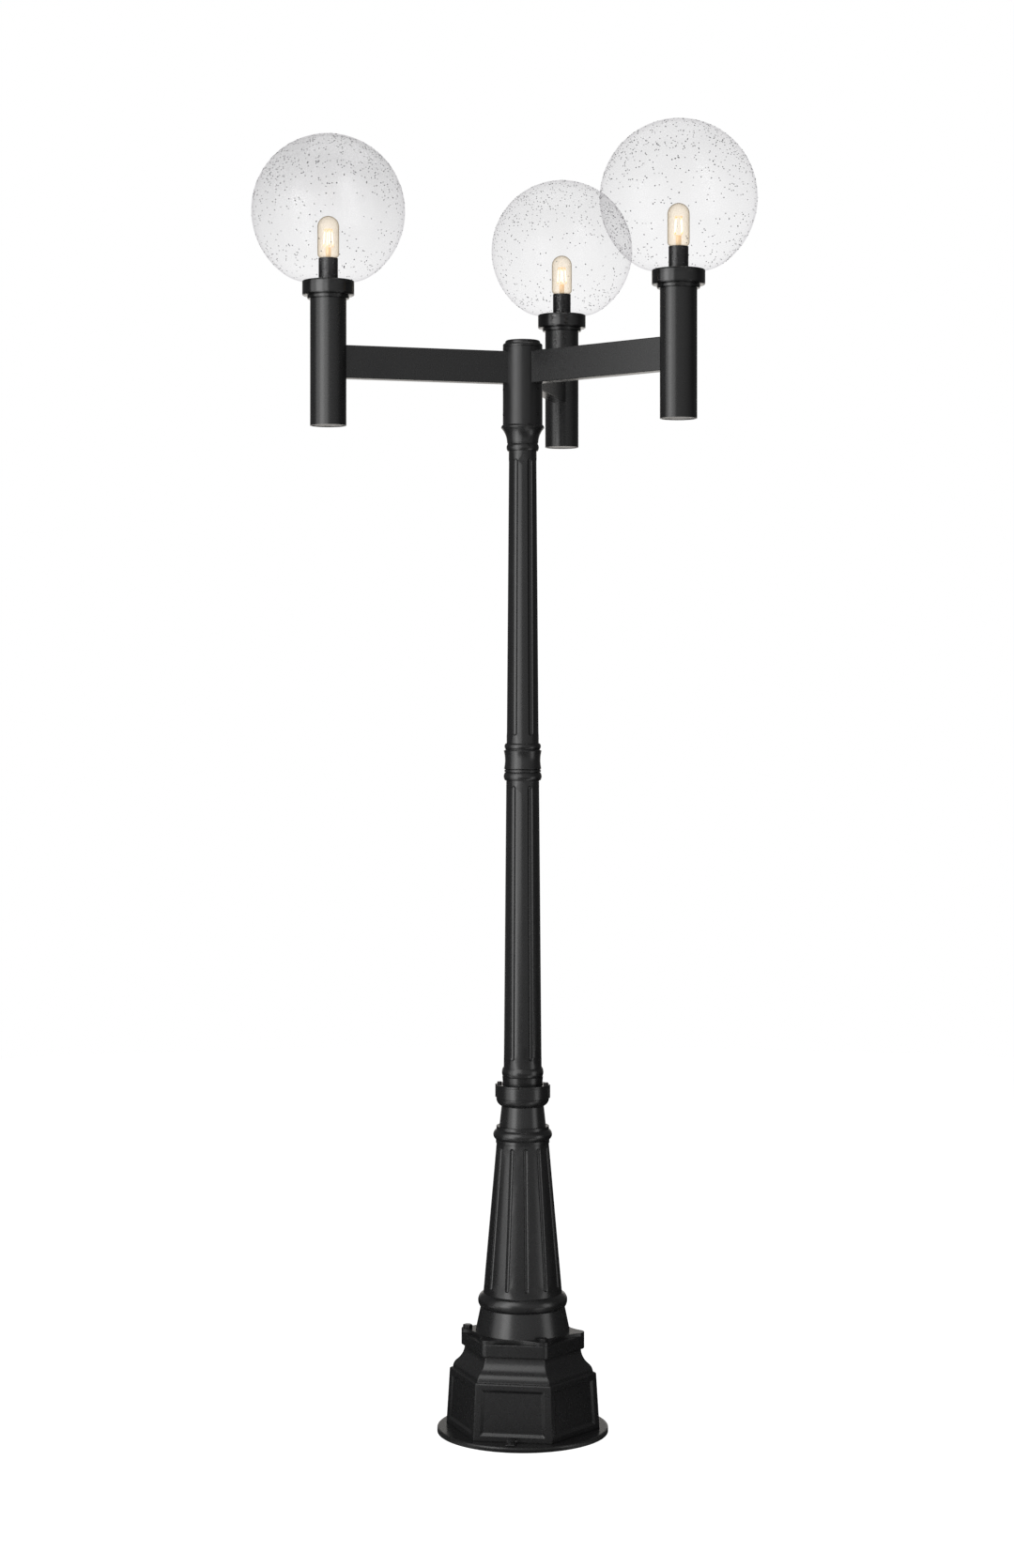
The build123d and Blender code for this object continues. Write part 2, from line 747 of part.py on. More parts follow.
# Coupling between the shafts: beads and spool outside, a spigot into each shaft
with BuildPart() as mid_collar:
    with BuildSketch(upright(0)):
        with BuildLine():
            Polyline(
                (upper_socket_radius - slip - spigot_wall, lower_shaft_top - spigot_length),
                (lower_socket_radius - slip, lower_shaft_top - spigot_length),
                (lower_socket_radius - slip, lower_shaft_top),
                (collar_lower_bead_diameter / 2 - collar_bead_step, lower_shaft_top),
            )
            ThreePointArc(
                (collar_lower_bead_diameter / 2 - collar_bead_step, lower_shaft_top),
                (collar_lower_bead_diameter / 2, (lower_shaft_top + lower_bead_top) / 2),
                (collar_lower_bead_diameter / 2 - collar_bead_step, lower_bead_top),
            )
            Polyline(
                (collar_lower_bead_diameter / 2 - collar_bead_step, lower_bead_top),
                (collar_groove_diameter / 2, lower_bead_top),
                (collar_groove_diameter / 2, collar_ring_bottom),
                (collar_ring_diameter / 2, collar_ring_bottom),
                (collar_ring_diameter / 2, collar_ring_top),
                (collar_groove_diameter / 2, collar_ring_top),
                (collar_groove_diameter / 2, spool_bottom),
                (spool_bottom_diameter / 2 - spool_lip, spool_bottom),
                (spool_bottom_diameter / 2, spool_bottom + spool_lip),
            )
            ThreePointArc(
                (spool_bottom_diameter / 2, spool_bottom + spool_lip),
                (spool_waist_diameter / 2, (spool_bottom + spool_top) / 2),
                (spool_top_diameter / 2, spool_top - spool_lip),
            )
            Polyline(
                (spool_top_diameter / 2, spool_top - spool_lip),
                (spool_top_diameter / 2 - spool_lip, spool_top),
                (collar_groove_diameter / 2, spool_top),
                (collar_groove_diameter / 2, upper_bead_bottom),
                (collar_upper_bead_diameter / 2 - collar_bead_step, upper_bead_bottom),
            )
            ThreePointArc(
                (collar_upper_bead_diameter / 2 - collar_bead_step, upper_bead_bottom),
                (collar_upper_bead_diameter / 2, (upper_bead_bottom + coupling_top) / 2),
                (collar_upper_bead_diameter / 2 - collar_bead_step, coupling_top),
            )
            Polyline(
                (collar_upper_bead_diameter / 2 - collar_bead_step, coupling_top),
                (upper_socket_radius - slip, coupling_top),
                (upper_socket_radius - slip, coupling_top + spigot_length),
                (upper_socket_radius - slip - spigot_wall, coupling_top + spigot_length),
                (upper_socket_radius - slip - spigot_wall, lower_shaft_top - spigot_length),
            )
        make_face()
    revolve(axis=Axis.Z)
mid_collar.part.label = "mid_collar"
export_step(mid_collar.part, "parts/mid_collar.step")


# Upper shaft
upper_flute = tapered_flute(
    (upper_shaft_bottom_diameter / 2, coupling_top),
    (upper_shaft_top_diameter / 2, upper_shaft_top),
    shaft_flute_foot,
    shaft_flute_head,
    shaft_flute_radius,
    shaft_flute_depth,
)

with BuildPart() as upper_shaft:
    with BuildSketch(upright(0)):
        with BuildLine():
            Polyline(
                (upper_socket_radius, coupling_top),
                (upper_shaft_bottom_diameter / 2, coupling_top),
                (upper_shaft_top_diameter / 2, upper_shaft_top),
                (capital_socket_radius, upper_shaft_top),
                (capital_socket_radius, upper_shaft_top - shaft_socket),
                (upper_socket_radius, coupling_top + shaft_socket),
                close=True,
            )
        make_face()
    revolve(axis=Axis.Z)
    with PolarLocations(0, shaft_flute_count, start_angle=upper_flute_heading):
        add(upper_flute, mode=Mode.SUBTRACT)
upper_shaft.part.label = "upper_shaft"
export_step(upper_shaft.part, "parts/upper_shaft.step")


# Capital: bead, flare and the tenon inside the sleeve
capital_bore_radius = capital_socket_radius - slip - spigot_wall
with BuildPart() as capital:
    with BuildSketch(upright(0)):
        with BuildLine():
            Polyline(
                (capital_bore_radius, upper_shaft_top - spigot_length),
                (capital_socket_radius - slip, upper_shaft_top - spigot_length),
                (capital_socket_radius - slip, upper_shaft_top),
                (upper_shaft_top_diameter / 2, upper_shaft_top),
                (upper_shaft_top_diameter / 2, capital_bead_bottom),
                (capital_bead_diameter / 2 - capital_bead_step, capital_bead_bottom),
            )
            ThreePointArc(
                (capital_bead_diameter / 2 - capital_bead_step, capital_bead_bottom),
                (capital_bead_diameter / 2, (capital_bead_bottom + capital_bead_top) / 2),
                (capital_bead_diameter / 2 - capital_bead_step, capital_bead_top),
            )
            Polyline(
                (capital_bead_diameter / 2 - capital_bead_step, capital_bead_top),
                (capital_groove_diameter / 2, capital_bead_top),
                (capital_groove_diameter / 2, flare_bottom),
                (flare_bottom_diameter / 2, flare_bottom),
            )
            TangentArc(
                (flare_bottom_diameter / 2, flare_bottom),
                (flare_top_diameter / 2, flare_top),
                tangent=(0, 1),
            )
            TangentArc(
                (flare_top_diameter / 2, flare_top),
                (flare_top_diameter / 2 - flare_lip_inset, capital_top),
                tangent=(0, 1),
            )
            Polyline(
                (flare_top_diameter / 2 - flare_lip_inset, capital_top),
                (tenon_diameter / 2, capital_top),
                (tenon_diameter / 2, capital_top + tenon_height - tenon_chamfer),
                (tenon_diameter / 2 - tenon_chamfer, capital_top + tenon_height),
                (tenon_diameter / 2 - tenon_wall, capital_top + tenon_height),
                (tenon_diameter / 2 - tenon_wall, capital_top),
                (capital_bore_radius, flare_bottom),
                (capital_bore_radius, upper_shaft_top - spigot_length),
            )
        make_face()
    revolve(axis=Axis.Z)
capital.part.label = "capital"
export_step(capital.part, "parts/capital.step")


# Head sleeve over the tenon, with wire holes behind the arms and holes for the set screws
with BuildPart() as head_sleeve:
    with BuildSketch(Plane.XY.offset(capital_top)):
        Circle(sleeve_diameter / 2)
        Circle(sleeve_bore_radius, mode=Mode.SUBTRACT)
    extrude(amount=sleeve_height)
    for heading in heads.values():
        with BuildSketch(facing(heading)):
            with Locations((0, arm_middle)):
                Circle(wire_hole / 2)
            with Locations((0, capital_top + set_screw_low), (0, capital_top + set_screw_high)):
                Circle(set_screw_diameter / 2 + screw_fit)
        extrude(amount=sleeve_diameter, mode=Mode.SUBTRACT)
head_sleeve.part.label = "head_sleeve"
export_step(head_sleeve.part, "parts/head_sleeve.step")

rim_top = sleeve_top + sleeve_cap_rim
disc_top = rim_top + sleeve_cap_disc
with BuildPart() as sleeve_cap:
    with BuildSketch(upright(0)):
        with BuildLine():
            Polyline(
                (0, sleeve_top - sleeve_cap_plug),
                (sleeve_bore_radius - slip, sleeve_top - sleeve_cap_plug),
                (sleeve_bore_radius - slip, sleeve_top),
                (sleeve_diameter / 2 - sleeve_cap_rim_foot, sleeve_top),
            )
            ThreePointArc(
                (sleeve_diameter / 2 - sleeve_cap_rim_foot, sleeve_top),
                (sleeve_diameter / 2, (sleeve_top + rim_top) / 2),
                (sleeve_diameter / 2 - sleeve_cap_rim_shoulder, rim_top),
            )
            Polyline(
                (sleeve_diameter / 2 - sleeve_cap_rim_shoulder, rim_top),
                (sleeve_cap_disc_diameter / 2, rim_top),
                (sleeve_cap_disc_diameter / 2, disc_top - sleeve_cap_disc_edge),
            )
            TangentArc(
                (sleeve_cap_disc_diameter / 2, disc_top - sleeve_cap_disc_edge),
                (sleeve_cap_disc_diameter / 2 - sleeve_cap_disc_edge, disc_top),
                tangent=(0, 1),
            )
            Polyline(
                (sleeve_cap_disc_diameter / 2 - sleeve_cap_disc_edge, disc_top),
                (0, disc_top),
                (0, sleeve_top - sleeve_cap_plug),
            )
        make_face()
    revolve(axis=Axis.Z)
sleeve_cap.part.label = "sleeve_cap"
export_step(sleeve_cap.part, "parts/sleeve_cap.step")

with BuildPart() as set_screws:
    for heading in heads.values():
        screw_plane = facing(heading, sleeve_diameter / 2 + set_screw_stand)
        with BuildSketch(screw_plane):
            with Locations((0, capital_top + set_screw_low), (0, capital_top + set_screw_high)):
                Circle(set_screw_diameter / 2)
        extrude(amount=sleeve_bore_radius - sleeve_diameter / 2 - set_screw_stand)
        with BuildSketch(screw_plane):
            with Locations((0, capital_top + set_screw_low), (0, capital_top + set_screw_high)):
                RegularPolygon(set_screw_socket / 2, 6, major_radius=False)
        extrude(amount=-set_screw_socket_depth, mode=Mode.SUBTRACT)
set_screws.part.label = "set_screws"
export_step(set_screws.part, "parts/set_screws.step")

# Lock nuts under the fitters
with BuildPart() as nipple_nuts:
    for heading in heads.values():
        nut_place = heading_vector(heading) * arm_reach + Vector(0, 0, column_top - fitter_plug)
        with BuildSketch(Plane(origin=nut_place)):
            RegularPolygon(nut_flats / 2, 6, major_radius=False)
            Circle(nipple_diameter / 2 + screw_fit, mode=Mode.SUBTRACT)
        extrude(amount=-nut_thickness)
nipple_nuts.part.label = "nipple_nuts"
export_step(nipple_nuts.part, "parts/nipple_nuts.step")

# Shared shape of the globe: a sphere that flattens into a short lipped neck
globe_radius = globe_diameter / 2
globe_center = collar_top + globe_center_above_collar
shoulder = collar_top + globe_rest
shoulder_radius = globe_neck_diameter / 2 + globe_neck_fillet
shoulder_turn = 2 * degrees(atan((globe_radius - (globe_center - shoulder)) / shoulder_radius))
shoulder_bend = globe_radius - shoulder_radius / sin(radians(shoulder_turn))
globe_neck_radius = globe_neck_diameter / 2
shoulder_middle = (shoulder_radius, shoulder + shoulder_bend)
fillet_middle = (shoulder_radius, shoulder - globe_neck_fillet)
globe_middle = (0, globe_center)
lip_top = gasket_top + globe_lip_height

# Shared shape of the lamp: a tube with a round top, its screw shell and its light sticks
shell_bottom = lamp_base_bottom - lamp_tip_length - slip - shell_wall
lamp_radius = lamp_diameter / 2
lamp_neck_radius = lamp_neck_diameter / 2
dome_center = lamp_top - lamp_radius
bend_center = (lamp_radius - lamp_shoulder, lamp_bottom + lamp_shoulder)
stem_top = lamp_base_top + stem_height
stick_foot = Vector(stick_foot_circle / 2, 0, stem_top + stick_above_stem)
stick_head = Vector(stick_head_circle / 2, 0, stem_top + stick_above_stem + stick_rise)
wire_foot = Vector(0, 0, stem_top - stem_edge)

with BuildPart() as stick:
    with BuildSketch(Plane(origin=stick_foot, z_dir=stick_head - stick_foot)):
        Circle(stick_diameter / 2)
    extrude(amount=(stick_head - stick_foot).length)
    with BuildSketch(Plane(origin=wire_foot, z_dir=stick_foot - wire_foot)):
        Circle(wire_diameter / 2)
    extrude(amount=(stick_foot - wire_foot).length)

for side, heading in heads.items():
    across = facing(heading, level=arm_middle)
    on_column = upright(heading, arm_reach)
    column_axis = line_axis(heading, arm_reach)
    column_floor = Plane(origin=heading_vector(heading) * arm_reach)

    # Rectangular arm, coped to the sleeve and to the column
    with BuildPart() as arm:
        with BuildSketch(across):
            RectangleRounded(arm_width, arm_depth, arm_corner)
            Rectangle(arm_width - 2 * arm_wall, arm_depth - 2 * arm_wall, mode=Mode.SUBTRACT)
        extrude(amount=arm_reach)
        with BuildSketch(Plane.XY.offset(arm_middle)):
            Circle(sleeve_diameter / 2 + weld_gap)
        extrude(amount=arm_depth, both=True, mode=Mode.SUBTRACT)
        with BuildSketch(column_floor.offset(arm_middle)):
            Circle(column_diameter / 2 + weld_gap)
        extrude(amount=arm_depth, both=True, mode=Mode.SUBTRACT)
    arm.part.label = "arm_" + side
    export_step(arm.part, "parts/arm_" + side + ".step")

    # Column tube with its wire hole
    with BuildPart() as column:
        with BuildSketch(column_floor.offset(column_bottom)):
            Circle(column_diameter / 2)
            Circle(column_bore_radius, mode=Mode.SUBTRACT)
        extrude(amount=column_length)
        with BuildSketch(across):
            Circle(wire_hole / 2)
        extrude(amount=arm_reach, mode=Mode.SUBTRACT)
    column.part.label = "column_" + side
    export_step(column.part, "parts/column_" + side + ".step")

    # Plug that closes the column from below
    with BuildPart() as plug:
        with BuildSketch(column_floor.offset(column_bottom + plug_recess)):
            Circle(column_bore_radius - screw_fit)
        extrude(amount=plug_thickness)
    plug.part.label = "column_plug_" + side
    export_step(plug.part, "parts/column_plug_" + side + ".step")

    # Fitter on the column top
    with BuildPart() as fitter:
        with BuildSketch(on_column):
            with BuildLine():
                Polyline(
                    (nipple_diameter / 2 + screw_fit, column_top - fitter_plug),
                    (column_bore_radius - slip, column_top - fitter_plug),
                    (column_bore_radius - slip, column_top),
                    (step_diameter / 2, column_top),
                    (step_diameter / 2, collar_bottom),
                    (fitter_radius, collar_bottom),
                    (fitter_radius, fitter_top),
                    (nipple_diameter / 2 + screw_fit, fitter_top),
                    close=True,
                )
            make_face()
        revolve(axis=column_axis)
        step_circles = fitter.edges().filter_by(GeomType.CIRCLE).group_by(Axis.Z)[1]
        fillet(step_circles.sort_by(SortBy.RADIUS)[-1], radius=step_edge)
    fitter.part.label = "fitter_" + side
    export_step(fitter.part, "parts/fitter_" + side + ".step")

    # Gasket under the globe's lip
    with BuildPart() as gasket:
        with BuildSketch(column_floor.offset(fitter_top)):
            Circle(fitter_radius - slip)
            Circle(fitter_radius - slip - gasket_width, mode=Mode.SUBTRACT)
        extrude(amount=gasket_thickness)
    gasket.part.label = "gasket_" + side
    export_step(gasket.part, "parts/gasket_" + side + ".step")

    # Threaded tube that fixes the lampholder to the fitter
    with BuildPart() as nipple:
        with BuildSketch(column_floor.offset(column_top - fitter_plug - nut_thickness)):
            Circle(nipple_diameter / 2)
            Circle(nipple_diameter / 2 - nipple_wall, mode=Mode.SUBTRACT)
        extrude(amount=nut_thickness + fitter_plug + step_height + fitter_disc + nipple_above)
    nipple.part.label = "nipple_" + side
    export_step(nipple.part, "parts/nipple_" + side + ".step")

    # Socket cover
    with BuildPart() as cover:
        with BuildSketch(on_column):
            with BuildLine():
                Polyline(
                    (nipple_diameter / 2 + screw_fit, fitter_top),
                    (cover_diameter / 2, fitter_top),
                    (cover_diameter / 2, cover_top),
                    (cover_diameter / 2 - cover_wall, cover_top),
                    (cover_diameter / 2 - cover_wall, fitter_top + cover_wall),
                    (nipple_diameter / 2 + screw_fit, fitter_top + cover_wall),
                    close=True,
                )
            make_face()
        revolve(axis=column_axis)
    cover.part.label = "socket_cover_" + side
    export_step(cover.part, "parts/socket_cover_" + side + ".step")

    # Lampholder body and its screw shell
    with BuildPart() as holder:
        with BuildSketch(on_column):
            with BuildLine():
                Polyline(
                    (0, fitter_top + nipple_above + slip),
                    (nipple_diameter / 2 + screw_fit, fitter_top + nipple_above + slip),
                    (nipple_diameter / 2 + screw_fit, fitter_top + cover_wall),
                    (holder_radius, fitter_top + cover_wall),
                    (holder_radius, cover_top - holder_rim),
                    (shell_bore_radius + shell_wall + screw_fit, cover_top - holder_rim),
                    (shell_bore_radius + shell_wall + screw_fit, shell_bottom),
                    (0, shell_bottom),
                    close=True,
                )
            make_face()
        revolve(axis=column_axis)
    holder.part.label = "lampholder_" + side
    export_step(holder.part, "parts/lampholder_" + side + ".step")

    with BuildPart() as shell:
        with BuildSketch(on_column):
            with BuildLine():
                Polyline(
                    (0, shell_bottom),
                    (shell_bore_radius + shell_wall, shell_bottom),
                    (shell_bore_radius + shell_wall, cover_top - holder_rim),
                    (shell_bore_radius, cover_top - holder_rim),
                    (shell_bore_radius, shell_bottom + shell_wall),
                    (0, shell_bottom + shell_wall),
                    close=True,
                )
            make_face()
        revolve(axis=column_axis)
    shell.part.label = "socket_shell_" + side
    export_step(shell.part, "parts/socket_shell_" + side + ".step")

    # Threaded collar that holds the globe's lip down
    with BuildPart() as collar:
        with BuildSketch(on_column):
            with BuildLine():
                Polyline(
                    (collar_bore_radius, collar_bottom),
                    (collar_diameter / 2 - collar_edge, collar_bottom),
                )
                TangentArc(
                    (collar_diameter / 2 - collar_edge, collar_bottom),
                    (collar_diameter / 2, collar_bottom + collar_edge),
                    tangent=(1, 0),
                )
                Line(
                    (collar_diameter / 2, collar_bottom + collar_edge),
                    (collar_diameter / 2, collar_top - collar_edge),
                )
                TangentArc(
                    (collar_diameter / 2, collar_top - collar_edge),
                    (collar_diameter / 2 - collar_edge, collar_top),
                    tangent=(0, 1),
                )
                Polyline(
                    (collar_diameter / 2 - collar_edge, collar_top),
                    (globe_neck_radius + slip + collar_throat_edge, collar_top),
                    (globe_neck_radius + slip, collar_top - collar_throat_edge),
                    (globe_neck_radius + slip, lip_top),
                    (collar_bore_radius, lip_top),
                    (collar_bore_radius, collar_bottom),
                )
            make_face()
        revolve(axis=column_axis)
    collar.part.label = "globe_collar_" + side
    export_step(collar.part, "parts/globe_collar_" + side + ".step")

    # Glass globe
    with BuildPart() as globe:
        with BuildSketch(on_column):
            with BuildLine():
                CenterArc(globe_middle, globe_radius, 90, shoulder_turn - 180)
                CenterArc(shoulder_middle, shoulder_bend, shoulder_turn - 90, -shoulder_turn)
                CenterArc(fillet_middle, globe_neck_fillet, 90, 90)
                Polyline(
                    (globe_neck_radius, shoulder - globe_neck_fillet),
                    (globe_neck_radius, lip_top),
                    (globe_neck_radius + globe_lip, lip_top),
                    (globe_neck_radius + globe_lip, gasket_top),
                    (globe_neck_radius - globe_wall, gasket_top),
                    (globe_neck_radius - globe_wall, shoulder - globe_neck_fillet),
                )
                CenterArc(fillet_middle, globe_neck_fillet + globe_wall, 180, -90)
                CenterArc(shoulder_middle, shoulder_bend - globe_wall, -90, shoulder_turn)
                CenterArc(globe_middle, globe_radius - globe_wall, shoulder_turn - 90, 180 - shoulder_turn)
                Line((0, globe_center + globe_radius - globe_wall), (0, globe_center + globe_radius))
            make_face()
        revolve(axis=column_axis)
    globe.part.label = "globe_" + side
    export_step(globe.part, "parts/globe_" + side + ".step")

    # Lamp: base, glass and light sticks on a stem
    with BuildPart() as lamp_base:
        with BuildSketch(column_floor.offset(lamp_base_bottom)):
            Circle(lamp_base_diameter / 2)
        extrude(amount=lamp_base_length)
        with BuildSketch(column_floor.offset(lamp_base_bottom)):
            Circle(lamp_tip_diameter / 2)
        extrude(amount=-lamp_tip_length)
    lamp_base.part.label = "lamp_base_" + side
    export_step(lamp_base.part, "parts/lamp_base_" + side + ".step")

    with BuildPart() as lamp_glass:
        with BuildSketch(on_column):
            with BuildLine():
                Polyline(
                    (lamp_neck_radius - lamp_wall, lamp_base_top),
                    (lamp_neck_radius, lamp_base_top),
                    (lamp_neck_radius, lamp_bottom),
                    (lamp_radius - lamp_shoulder, lamp_bottom),
                )
                CenterArc(bend_center, lamp_shoulder, -90, 90)
                Line((lamp_radius, lamp_bottom + lamp_shoulder), (lamp_radius, dome_center))
                CenterArc((0, dome_center), lamp_radius, 0, 90)
                Line((0, lamp_top), (0, lamp_top - lamp_wall))
                CenterArc((0, dome_center), lamp_radius - lamp_wall, 90, -90)
                Line(
                    (lamp_radius - lamp_wall, dome_center),
                    (lamp_radius - lamp_wall, lamp_bottom + lamp_shoulder),
                )
                CenterArc(bend_center, lamp_shoulder - lamp_wall, 0, -90)
                Polyline(
                    (lamp_radius - lamp_shoulder, lamp_bottom + lamp_wall),
                    (lamp_neck_radius - lamp_wall, lamp_bottom + lamp_wall),
                    (lamp_neck_radius - lamp_wall, lamp_base_top),
                )
            make_face()
        revolve(axis=column_axis)
    lamp_glass.part.label = "lamp_glass_" + side
    export_step(lamp_glass.part, "parts/lamp_glass_" + side + ".step")

    with BuildPart() as filament:
        with BuildSketch(column_floor.offset(lamp_base_top)):
            Circle(stem_diameter / 2)
        extrude(amount=stem_height)
        fillet(filament.edges().group_by(Axis.Z)[-1], radius=stem_edge)
        with Locations(heading_vector(heading) * arm_reach):
            with PolarLocations(0, stick_count, start_angle=heading):
                add(stick.part)
        with BuildSketch(on_column):
            with Locations((stick_head.X, stick_head.Z)):
                Circle(wire_diameter / 2)
        revolve(axis=column_axis)
    filament.part.label = "lamp_filament_" + side
    export_step(filament.part, "parts/lamp_filament_" + side + ".step")
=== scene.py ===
import json
import math
import random

import bmesh
import bpy
from mathutils import Matrix, Quaternion, Vector


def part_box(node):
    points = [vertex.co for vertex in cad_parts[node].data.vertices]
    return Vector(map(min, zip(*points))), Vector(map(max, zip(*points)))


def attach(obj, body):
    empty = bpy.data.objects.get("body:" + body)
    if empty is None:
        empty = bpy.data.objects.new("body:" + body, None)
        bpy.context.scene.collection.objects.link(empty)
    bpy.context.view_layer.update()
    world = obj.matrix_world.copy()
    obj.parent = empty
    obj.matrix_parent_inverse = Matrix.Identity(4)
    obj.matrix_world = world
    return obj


# Looks of an outdoor post light with three seeded-glass globes. Lengths are in metres.

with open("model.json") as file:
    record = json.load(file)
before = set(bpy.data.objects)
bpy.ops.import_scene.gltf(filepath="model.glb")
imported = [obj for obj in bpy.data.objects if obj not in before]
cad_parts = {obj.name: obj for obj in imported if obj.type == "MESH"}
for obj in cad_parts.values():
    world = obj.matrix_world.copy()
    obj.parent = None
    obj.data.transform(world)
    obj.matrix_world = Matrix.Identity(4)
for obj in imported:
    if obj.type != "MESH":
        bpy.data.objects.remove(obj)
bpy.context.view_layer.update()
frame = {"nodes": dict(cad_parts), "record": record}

SIDES = ("left", "right", "rear")

# Camera: level, a little to the right of the front, with the horizon above the picture's middle
IMAGE_WIDTH = 1080
IMAGE_HEIGHT = 1670
FOCAL_PIXELS = 2999
HORIZON_ROW = 728
POST_COLUMN = 556.7
CAMERA_AZIMUTH = math.radians(9.0)
CAMERA_DISTANCE = 5.704
CAMERA_HEIGHT = 1.512
SENSOR = 36.0
CAMERA_RIGHT = Vector((math.cos(CAMERA_AZIMUTH), math.sin(CAMERA_AZIMUTH), 0))
CAMERA_AHEAD = Vector((-math.sin(CAMERA_AZIMUTH), math.cos(CAMERA_AZIMUTH), 0))

# Transparent surfaces that a sight line may pass; two globes with their lamps have 16
CLEAR_SURFACES = 32

# Room: radiance, where 1 is white. Reflections show it dim, paler on the camera's side, and with a backdrop.
AMBIENT = 0.25
ROOM_DIM = 0.10
ROOM_FRONT = 0.62
BACKDROP = 0.95
BACKDROP_EDGE = math.cos(math.radians(30.0))
BACKDROP_FULL = math.cos(math.radians(15.0))
BACKDROP_TILT = math.radians(-10.0)
WHITE = (1.0, 1.0, 1.0)
BACKDROP_COLOUR = (1.0, 0.96, 0.91)
AMBIENT_COLOUR = (1.0, 0.99, 0.98)

# Floor: in reflections it shows painted light and shade, with a tone that rises from behind the post to the
# camera's side, over the turn on the line to the camera. Two sectors on that side are paler with painted
# light, and rise and fall with the sine of the angle from the line.
FLOOR_REACH = 6.0
FLOOR_CORNERS = 96
FLOOR_DROP = 0.0005
FLOOR_TONE = 0.80
FLOOR_BEHIND_PAINTED_SHADE = 0.05
FLOOR_FRONT_PAINTED_LIGHT = 0.48
FLOOR_TURN = (-0.15, 0.7)
SECTOR_PAINTED_LIGHT = 0.55
SECTOR_RISE = (0.40, 0.66)
SECTOR_FALL = (0.74, 0.95)
SECTOR_START = (0.0, 0.15)

# To the camera the floor is a white glow with this share of its own shading, which holds the shadow
FLOOR_GLOW = 0.95
FLOOR_SHARE = 0.35

# Upright panels around the post: azimuth, lower and upper edge, width, radiance
PANEL_DISTANCE = 1.7
SOFTBOXES = {
    "key_edge": (-66.0, 0.05, 2.95, 0.66, 1.6),
    "key_bright": (-44.0, 0.05, 2.95, 0.66, 3.9),
    "key_soft": (-22.0, 0.90, 2.95, 0.66, 2.0),
    "low_right": (64.0, 0.05, 1.15, 0.60, 1.8),
}

# Panels that lie on the floor: azimuth, near and far edge, width, radiance
CARD_HEIGHT = 0.002
CARDS = {
    "card_left": (-78.0, 0.75, 1.45, 0.40, 1.3),
    "card_right": (42.0, 0.75, 1.45, 0.40, 0.9),
}

# Square panel above the post
OVERHEAD_PLACE = CAMERA_AHEAD * 0.5 + Vector((0, 0, 4.2))
OVERHEAD_SIZE = 1.8
OVERHEAD_RADIANCE = 1.6

# Noise in the coats and the glass: cells per metre, and the span that most of its values lie in
TONE_CELLS = 9.0
ROUGH_CELLS = 60.0
GRAIN_CELLS = 900.0
GRAIN_HEIGHT = 0.0003
HAZE_CELLS = 14.0
GLASS_ROUGH_CELLS = 25.0
NOISE_SPAN = (0.3, 0.7)
HAZE_CHANGE = 1.15

# Samples of the normal where an edge shades as if rounded
EDGE_SAMPLES = 6

# Seeds: bubbles in the glass, none below the neck's height, which is a part of the globe's radius
SEED_COUNT = 760
SEED_SMALL = 0.0018
SEED_LARGE = 0.0034
SEED_USUAL = SEED_SMALL * 1.6
SEED_SLIMMEST = 0.7
SEED_DEPTH = 0.0010
SEED_NECK = -0.82
SEED_NUMBERS = {"left": 11, "right": 23, "rear": 37}

# Share of the places that take a seed, and how it changes between two parts of the radius: going up, at the
# crown, going down, and towards or away from the camera
SEED_SHARE = 0.36
SEED_UP = (0.64, 0.0, 0.55)
SEED_CROWN = (-0.5, 0.75, 0.95)
SEED_DOWN = (0.35, 0.45, 0.65)
SEED_FACING = (-0.6, 0.60, 0.90)


def shader_material(name, settings):
    """New material whose Principled sockets take the settings."""
    made = bpy.data.materials.new(name)
    made.use_nodes = True
    shader = shader_of(made)
    for socket, value in settings.items():
        shader.inputs[socket].default_value = value
    return made


def shader_of(made):
    return made.node_tree.nodes["Principled BSDF"]


def coordinates(holder, kind):
    """Texture coordinates in a material or in the world."""
    return holder.node_tree.nodes.new("ShaderNodeTexCoord").outputs[kind]


def along(holder, place, direction):
    """How far a place lies along the direction."""
    dot = holder.node_tree.nodes.new("ShaderNodeVectorMath")
    dot.operation = "DOT_PRODUCT"
    dot.inputs[1].default_value = direction
    holder.node_tree.links.new(place, dot.inputs[0])
    return dot.outputs["Value"]


def number(holder, operation, first, second=None):
    """Result of a math node; the second number is a socket or a constant."""
    made = holder.node_tree.nodes.new("ShaderNodeMath")
    made.operation = operation
    holder.node_tree.links.new(first, made.inputs[0])
    if isinstance(second, float):
        made.inputs[1].default_value = second
    elif second is not None:
        holder.node_tree.links.new(second, made.inputs[1])
    return made.outputs["Value"]


def step_between(holder, source, span, start, end, smooth=False):
    """Value that goes from start to end while the source goes through the span."""
    mapped = holder.node_tree.nodes.new("ShaderNodeMapRange")
    mapped.interpolation_type = "SMOOTHSTEP" if smooth else "LINEAR"
    mapped.inputs["From Min"].default_value = span[0]
    mapped.inputs["From Max"].default_value = span[1]
    mapped.inputs["To Min"].default_value = start
    mapped.inputs["To Max"].default_value = end
    holder.node_tree.links.new(source, mapped.inputs["Value"])
    return mapped.outputs["Result"]


def noise(made, cells, detail=2.0):
    """Noise in the object's own metres."""
    texture = made.node_tree.nodes.new("ShaderNodeTexNoise")
    texture.inputs["Scale"].default_value = cells
    texture.inputs["Detail"].default_value = detail
    made.node_tree.links.new(coordinates(made, "Object"), texture.inputs["Vector"])
    return texture.outputs["Fac"]


def vary(made, socket, source, low, high):
    """Lets a number on the shader wander from low to high with the noise."""
    result = step_between(made, source, NOISE_SPAN, low, high)
    made.node_tree.links.new(result, shader_of(made).inputs[socket])


